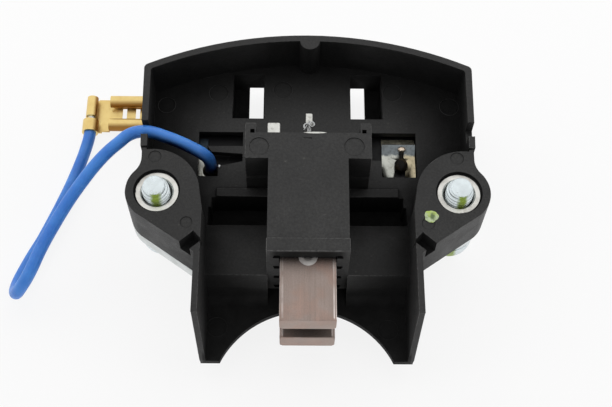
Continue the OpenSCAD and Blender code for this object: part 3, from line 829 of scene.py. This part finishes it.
def makeZonedTin(name):
    base, zones = zonedTins[name]
    made, tree, shader = newMaterial(name)
    dull = tuple(value * 0.6 for value in base)
    skin = metalSurface(tree, base, dull, 0.6, 0.34, 900.0, 0.4, (2, 1, 1))
    parts = objectParts(tree)
    stain = centred(tree, addNoise(tree, 1300.0, 4.0, 0.65, objectVector(tree)))
    color = skin["Color"]
    for axis, span, tint in zones:
        color = addMix(tree, rangeMm(tree, scaledSum(tree, stain, 0.0007, parts[axis]), span), color, tint)
    tarnished = addMix(tree, 1.0, color, (0.45, 0.43, 0.4), "MULTIPLY")
    fill(tree, shader.inputs, {
        "Base Color": addMix(tree, addRange(tree, stain, 0.0, 0.3, 0.0, 0.5), color, tarnished),
        "Roughness": skin["Roughness"],
        "Normal": skin["Normal"],
        "Metallic": 1.0,
    })
    return made


materials.update({name: makeZonedTin(name) for name in zonedTins})

# the fork has one round corner, the other strip is narrow and round at its foot
stripCorners = {"right_terminal": ((14.52, 7.7), 2.2), "left_terminal": ((-19.3, 7.7), 0.9)}
stripEdge = 0.07


def cutAway(bm, place, normal):
    whole = bm.verts[:] + bm.edges[:] + bm.faces[:]
    bmesh.ops.bisect_plane(bm, geom=whole, plane_co=Vector(place) * mm, plane_no=normal, clear_outer=True)


def atCorner(edge, x, y):
    return all(abs(vert.co.x / mm - x) < 0.1 and abs(vert.co.y / mm - y) < 0.1 for vert in edge.verts)


def makeWindowTin():
    for node, ((cornerX, cornerY), radius) in stripCorners.items():
        bm = mergedCopy(node)
        if node == "left_terminal":
            cutAway(bm, (cornerX, 0, 0), (1, 0, 0))
            bmesh.ops.holes_fill(bm, edges=[edge for edge in bm.edges if edge.is_boundary], sides=0)
        upright = [edge for edge in bm.edges if atCorner(edge, cornerX, cornerY)]
        bevel(bm, upright, radius, 8, "OFFSET")
        roundEdges(bm, stripEdge)
        side = node.split("_")[0]
        mesh = meshFrom(bm, side + "Terminal", dressing["smoothAngle"])
        addPiece(mesh, side + "Terminal", side + "Tin", [node])


makeWindowTin()


# Component lead in the right window, with its bead of burnt flux and its clipped tip
flux = {
    "bead": ((18.2, 11.0, -10.55), (1.27, 1.6, 1.0)),
    "neck": [(18.22, 12.0, -10.2), (18.3, 13.1, -9.95), (18.36, 13.9, -9.9)],
    "neckRadius": 0.46,
    "tip": ((18.36, 14.15, -9.8), (0.8, 0.62, 0.42)),
    "drop": ((-16.97, 9.75, -8.95), (0.36, 0.34, 0.25)),
}


def makeFluxMaterial():
    made, tree, shader = newMaterial("burntFlux")
    cloud = addNoise(tree, 900.0, 4.0, 0.6, objectVector(tree))
    share = addRange(tree, cloud, 0.5, 0.72)
    fill(tree, shader.inputs, {
        "Base Color": addMix(tree, share, (0.006, 0.005, 0.004), (0.055, 0.04, 0.022)),
        "Roughness": addRange(tree, cloud, 0.3, 0.7, 0.3, 0.7),
        "Normal": addBump(tree, cloud, 0.6, 0.00015),
        "IOR": 1.5,
        "Specular IOR Level": 0.1,
    })
    return made


def makeBead():
    chance = random.Random(5)
    bm = bmesh.new()
    middle, radii = flux["bead"]
    for vert in ballInto(bm, middle, radii, segments=28):
        vert.co += (vert.co - Vector(middle) * mm) * chance.uniform(-0.03, 0.03)
    for start, end in zip(flux["neck"], flux["neck"][1:]):
        rodInto(bm, start, end, flux["neckRadius"], flux["neckRadius"] * 0.92)
    for place in flux["neck"]:
        ballInto(bm, place, [flux["neckRadius"]] * 3, segments=16)
    bmesh.ops.recalc_face_normals(bm, faces=bm.faces)
    return meshFrom(bm, "fluxBead", 60)


def addBall(name, ball, material, segments=24):
    bm = bmesh.new()
    ballInto(bm, *ball, segments=segments)
    addPiece(meshFrom(bm, name), name, material)


materials["burntFlux"] = makeFluxMaterial()
addPiece(makeBead(), "fluxBead", "burntFlux", ["hook_lead"])
addBall("leadTip", flux["tip"], "tipCopper")
addBall("solderDrop", flux["drop"], "solderAlloy", 16)
print("regulator: windows filled")


# Bolt ends: a spun thread under a long chamfer, with a streak of thread lock on the side
bolts = {
    "reach": 27.5, "edge": 0.08, "cut": -2.5, "tip": 2.1,
    "core": [
        (2.32, -2.5), (2.2, -2.35), (2.2, 0.55), (1.74, 1.8), (1.93, 1.92),
        (1.92, 2.03), (1.84, 2.1), (1.78, 2.04), (1.71, 2.1), (0, 2.1),
    ],
    "tooth": [(2.14, -0.36), (2.49, -0.09), (2.49, 0.09), (2.14, 0.36)],
    "pitch": 0.8, "turns": 5, "top": 1.72,
    "taperFrom": 0.45, "taper": 0.155,
    # the left one has settled aside in its bush; this is how far its tip leans
    "lean": {-1: -0.3, 1: 0.08},
    # streak of thread lock: its middle, then where it is full and where it has faded out
    "streaks": [(-27.45, 0.5, 1.15), (27.85, 0.45, 1.0)],
    "streakFront": (-1.2, -1.7), "streakTop": (2.05, 1.75), "streakColor": (0.26, 0.36, 0.05),
    "metallic": 0.65, "streakMetallic": -0.6,
}


def makeBoltMaterial():
    made, tree, shader, color = makeMetal("boltZinc")
    parts = objectParts(tree)
    stain = centred(tree, addNoise(tree, 1600.0, 3.0, 0.6, objectVector(tree, (1, 1, 0.5))))
    masks = []
    for middle, full, faded in bolts["streaks"]:
        aside = addMath(tree, "ABSOLUTE", addMath(tree, "SUBTRACT", parts["X"], middle * mm))
        masks.append(rangeMm(tree, scaledSum(tree, stain, 0.0004, aside), (faded, full)))
    front = rangeMm(tree, parts["Y"], bolts["streakFront"])
    low = rangeMm(tree, scaledSum(tree, stain, 0.0004, parts["Z"]), bolts["streakTop"])
    mask = product(tree, addMath(tree, "MAXIMUM", *masks), product(tree, front, low))
    fill(tree, shader.inputs, {
        "Base Color": addMix(tree, mask, color, bolts["streakColor"]),
        "Metallic": scaledSum(tree, mask, bolts["streakMetallic"], bolts["metallic"]),
    })
    return made


def makeBolt(node, name, side):
    middle = (side * bolts["reach"], 0, 0)
    turns, cut = bolts["turns"], bolts["cut"]
    bm = mergedCopy(node)
    cutAway(bm, (0, 0, cut), (0, 0, 1))
    roundEdges(bm, bolts["edge"])
    rise = turns * bolts["pitch"]
    start = (middle[0], middle[1], bolts["top"] - rise)
    below = set(bm.verts)
    spunInto(bm, bolts["tooth"], start, degrees=360 * turns, steps=48 * turns, closed=True, rise=rise)
    for vert in set(bm.verts) - below:
        narrow = 1 - max(0, vert.co.z / mm - bolts["taperFrom"]) * bolts["taper"]
        vert.co.x = middle[0] * mm + (vert.co.x - middle[0] * mm) * narrow
        vert.co.y *= narrow
    spunInto(bm, bolts["core"], middle)
    for vert in set(bm.verts) - below:
        vert.co.x += bolts["lean"][side] * max(0, vert.co.z - cut * mm) / (bolts["tip"] - cut)
    addPiece(closedMesh(bm, name, 30), name, "boltZinc", [node])


materials["boltZinc"] = makeBoltMaterial()
makeBolt("left_bolt", "leftBolt", -1)
makeBolt("right_bolt", "rightBolt", 1)
print("regulator: bolts threaded")


# Other fasteners and plates: node, piece, material, slot and width of the rounded edges
paired = [
    ("_bush", "Bush", "bushSteel", "bush_steel", 0.14),
    ("_washer", "Washer", "washerZinc", "washer_zinc", 0.12),
    ("_lock_washer", "LockWasher", "washerZinc", "washer_zinc", 0.1),
]
fittings = [(side + node, side + name, *rest) for node, name, *rest in paired for side in ("left", "right")]
fittings += [
    ("right_spacer", "rightSpacer", "washerZinc", "spacer_zinc", 0.15),
    ("earth_plate", "earthPlate", "plateAluminium", "plate_aluminium", 0.22),
    ("regulator_module", "pottedModule", "pottingResin", "potting", 0.12),
    ("brush_tab", "brushTab", "tabTin", "terminal_tin", 0.3),
    ("weld_tab", "weldTab", "tabTin", "terminal_tin", 0.14),
    ("lead_joint", "leadJoint", "burntFlux", "solder", 0.15),
]
for node, name, material, slot, width in fittings:
    dressNode(node, name, material, width)


# Frayed end of the near braid, looped under its tab, and a bright scrape on the holder's back edge
curl = {
    "radius": 0.42, "wire": 0.19, "sides": 10,
    "loop": (0.72, 14.55, -1.0),
    "loopAxis": (0.1, -0.25, 0.96),
    "tail": (-0.25, 14.2, -1.15),
    "tailAxis": (-0.15, -0.3, 0.94),
    "tailDegrees": 235, "tailWider": 0.15, "tailFlat": 0.8, "steps": (28, 22),
    "strands": [
        ((-0.1, 12.9, -2.0), (0.4, 14.5, -1.0)),
        ((0.35, 12.8, -2.0), (0.1, 15.2, -1.0)),
        ((-0.75, 13.7, -1.6), (0.3, 15.3, -1.0)),
    ],
    "strandRadii": (0.17, 0.15),
}
scrape = ((1.25, 10.82, 2.44), (2.2, 0.2, 0.13))


def makeCurl():
    bm = bmesh.new()
    turns = [math.tau * step / curl["sides"] for step in range(curl["sides"])]
    radius, wire, degrees = curl["radius"], curl["wire"], curl["tailDegrees"]
    loopSteps, tailSteps = curl["steps"]
    circle = [(radius + wire * math.cos(turn), wire * math.sin(turn)) for turn in turns]
    spunInto(bm, circle, curl["loop"], axis=curl["loopAxis"], closed=True, steps=loopSteps)
    flatter = [(across + curl["tailWider"], height * curl["tailFlat"]) for across, height in circle]
    spunInto(bm, flatter, curl["tail"], axis=curl["tailAxis"], degrees=degrees, closed=True, steps=tailSteps)
    for start, end in curl["strands"]:
        rodInto(bm, start, end, *curl["strandRadii"], curl["sides"])
    return closedMesh(bm, "braidCurl", 60)


addPiece(makeCurl(), "braidCurl", "tinnedBraid")
addBall("backScrape", scrape, "tabTin")
print("regulator: fittings dressed")


# Blue lead
lead = {
    "diameter": 2.4,
    "route": [
        (-18.6, 9.8, -10.2), (-18.6, 9.8, -8), (-18.9, 9.9, -6.3), (-19.9, 10.1, -4.7),
        (-21.6, 10.6, -3.6), (-24, 11.4, -2.7), (-27, 12.4, -2.2), (-29.4, 13.1, -2),
        (-31, 13.3, -2), (-33.5, 12.8, -2.3), (-35.5, 11.4, -2.9), (-37.7, 9.6, -3.6),
        (-39.8, 7.4, -4.4), (-41.8, 4.9, -5.3), (-43.7, 2.3, -6.2), (-45.5, -0.6, -7),
        (-47, -3.4, -7.6), (-48.5, -6.5, -8.1), (-49.6, -9.2, -8.4), (-50.4, -11.4, -8.7),
        (-51.4, -13.3, -9.5), (-52.6, -14.5, -11), (-53.7, -14.9, -12.9), (-54.5, -14.3, -14.8),
        (-55, -12.9, -16.5), (-54.9, -10.8, -17.6), (-54.2, -8.5, -18), (-52.9, -5.4, -18),
        (-51.4, -2.2, -18), (-49.9, 1.6, -18), (-48.4, 5.6, -18), (-46.9, 10, -18),
        (-45.7, 14.1, -18), (-44.7, 17.9, -17.8), (-44.1, 21.3, -17.6), (-44.1, 24.7, -17.6),
    ],
    "sides": 8,
    "color": (0.034, 0.165, 0.565), "pale": (0.06, 0.235, 0.66), "speckColor": (0.3, 0.4, 0.55),
    # darker where it lies close over the ear and the window, by X
    "shadeReach": 0.008,
    "shadeSpan": (-31, -26),
    "shadeColor": (0.001, 0.004, 0.03),
}


def makeLeadMaterial():
    made, tree, shader = newMaterial("leadBlue")
    place, parts = objectVector(tree), objectParts(tree)
    cloud = addNoise(tree, 260.0, 3.0, 0.55, place)
    fine = addNoise(tree, 2400.0, 3.0, 0.6, place)
    dust = useGroup(tree, specks, {"Amount": 0.25, "Seed": 0.77})["Mask"]
    close = addRange(tree, addCover(tree, 8, lead["shadeReach"]), 0.85, 0.4)
    shaded = product(tree, close, rangeMm(tree, parts["X"], lead["shadeSpan"]))
    color = addMix(tree, addRange(tree, cloud, 0.35, 0.7), lead["color"], lead["pale"])
    color = addMix(tree, dust, color, lead["speckColor"])
    fill(tree, shader.inputs, {
        "Base Color": addMix(tree, shaded, color, lead["shadeColor"]),
        "Roughness": addRange(tree, fine, 0.3, 0.7, 0.34, 0.48),
        "Normal": addBump(tree, fine, 0.12, 0.00003),
        "IOR": 1.5,
        "Subsurface Weight": 0.06,
        "Subsurface Scale": 0.0006,
    })
    return made


def makeLead():
    materials["leadBlue"] = makeLeadMaterial()
    data = bpy.data.curves.new("blueLead", "CURVE")
    data.dimensions = "3D"
    data.resolution_u = 6
    data.bevel_depth = lead["diameter"] / 2 * mm
    data.bevel_resolution = lead["sides"]
    data.use_fill_caps = True
    spline = data.splines.new("BEZIER")
    spline.bezier_points.add(len(lead["route"]) - 1)
    for point, place in zip(spline.bezier_points, lead["route"]):
        point.co = Vector(place) * mm
        point.handle_left_type = point.handle_right_type = "AUTO"
    piece = linked("blueLead", data)
    data.materials.append(materials["leadBlue"])
    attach(piece, "housing")
    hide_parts("lead_wire")
    return piece


# Brass receptacle
brass = {
    "edge": 0.06,
    "cut": ((-46.5, 24.42, -18.4), (-42.08, 25.2, -15)),
    # the barrels lie left of this X, the rolls right of it
    "barrelsEnd": -41.5,
    # how far a side has to turn before it browns, and over how much more
    "barrelTurn": (0.4, 0.35),
    "rollTurn": (0.15, 0.6),
}


def shadeBrass(piece):
    # browner where it turns from the light: the barrels' right sides and the rolls' lower sides
    shade = piece.data.attributes.new("formShade", "FLOAT", "CORNER")
    for loop, normal in zip(piece.data.loops, piece.data.corner_normals):
        place = piece.data.vertices[loop.vertex_index].co
        onBarrel = place.x < brass["barrelsEnd"] * mm
        turned = normal.vector.x if onBarrel else -normal.vector.y
        start, spread = brass["barrelTurn" if onBarrel else "rollTurn"]
        shade.data[loop.index].value = min(1, max(0, (turned - start) / spread))


blueLead = makeLead()
strands = dressNode("lead_strands", "leadStrands", "tinnedStrands", 0.0)
receptacle = dressNode(
    "flag_terminal", "flagReceptacle", "brassStrip", brass["edge"], cuts=[brass["cut"]],
)
shadeBrass(receptacle)
print("regulator: lead laid")


# Springs and braids inside the holder, which shorten as a brush is pushed in; here each only gets a mesh of
# its own
braid = {
    "copper": (0.72, 0.40, 0.25),
    "dull": (0.42, 0.20, 0.11),
    # tinned beyond the holder's back, by Y
    "tinned": (10.5, 11.5),
    "tin": (0.5, 0.5, 0.49),
}


def makeBraidMaterial():
    made, tree, shader = newMaterial("braidCopper")
    place, parts = objectVector(tree), objectParts(tree)
    wave = tree.nodes.new("ShaderNodeTexWave")
    fill(tree, wave.inputs, {"Scale": 900.0, "Distortion": 2.0, "Detail": 2.0, "Vector": place})
    stain = addNoise(tree, 900.0, 3.0, 0.6, place)
    copper = addMix(tree, addRange(tree, stain, 0.35, 0.7), braid["copper"], braid["dull"])
    fill(tree, shader.inputs, {
        "Base Color": addMix(tree, rangeMm(tree, parts["Y"], braid["tinned"]), copper, braid["tin"]),
        "Roughness": addRange(tree, stain, 0.3, 0.7, 0.3, 0.45),
        "Normal": addBump(tree, wave.outputs["Fac"], 0.7, 0.00006),
        "Metallic": 1.0,
    })
    return made


materials["braidCopper"] = makeBraidMaterial()
for side in ("near", "far"):
    inner = [
        dressNode(side + "_spring", side + "Spring", "springSteel", 0.0),
        dressNode(side + "_pigtail", side + "Braid", "braidCopper", 0.0),
    ]
    for piece in inner:
        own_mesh(piece)
print("regulator: springs and braids dressed")


# Floor, world and lamps
studio = {
    "floorLevel": -19.64, "floorColor": (0.86, 0.86, 0.86), "floorGlow": 0.86, "worldLight": 0.06,
    "lamps": [
        # name, place in mm, size in mm, power in watts
        ("leftLamp", (-430, 90, 230), (560, 420), 1.3),
        ("rightLamp", (430, 90, 230), (560, 420), 1.3),
        ("topLamp", (0, 250, 430), (700, 420), 1.4),
        ("backLamp", (0, 460, 200), (700, 360), 1.0),
        ("frontLamp", (0, -430, 0), (700, 50), 1.35),
    ],
}


def seenRays(tree):
    path = tree.nodes.new("ShaderNodeLightPath").outputs
    seen = addMath(tree, "MAXIMUM", path["Is Camera Ray"], path["Is Glossy Ray"])
    return addMath(tree, "MAXIMUM", seen, path["Is Transmission Ray"])


def makeFloor():
    bm = bmesh.new()
    level = Matrix.Translation((0, 0, studio["floorLevel"] * mm))
    bmesh.ops.create_grid(bm, x_segments=1, y_segments=1, size=3.0, matrix=level)
    mesh = bpy.data.meshes.new("paleFloor")
    bm.to_mesh(mesh)
    bm.free()
    floor = linked("paleFloor", mesh)
    made, tree, mixed = newMaterial("paleFloor", "ShaderNodeMixShader")
    diffuse = tree.nodes.new("ShaderNodeBsdfDiffuse")
    glow = tree.nodes.new("ShaderNodeEmission")
    fill(tree, diffuse.inputs, {"Color": studio["floorColor"]})
    fill(tree, glow.inputs, {"Strength": 1.0})
    share = product(tree, seenRays(tree), studio["floorGlow"])
    fill(tree, mixed.inputs, {0: share, 1: diffuse.outputs[0], 2: glow.outputs[0]})
    mesh.materials.append(made)


def makeWorld():
    world = bpy.data.worlds.new("studioWorld")
    bpy.context.scene.world = world
    world.use_nodes = True
    tree = world.node_tree
    tree.nodes.clear()
    background = tree.nodes.new("ShaderNodeBackground")
    output = tree.nodes.new("ShaderNodeOutputWorld")
    strength = scaledSum(tree, seenRays(tree), 1.0 - studio["worldLight"], studio["worldLight"])
    fill(tree, background.inputs, {"Color": (1, 1, 1), "Strength": strength})
    tree.links.new(background.outputs[0], output.inputs["Surface"])


def makeLamps():
    for name, place, size, power in studio["lamps"]:
        data = bpy.data.lights.new(name, "AREA")
        data.shape, data.size, data.size_y, data.energy = "RECTANGLE", size[0] * mm, size[1] * mm, power
        lamp = linked(name, data)
        lamp.location = Vector(place) * mm
        lamp.rotation_euler = (-Vector(place)).to_track_quat("-Z", "Y").to_euler()
        lamp.visible_glossy = False


makeFloor()
makeWorld()
makeLamps()
bpy.context.scene.view_settings.view_transform = "Standard"
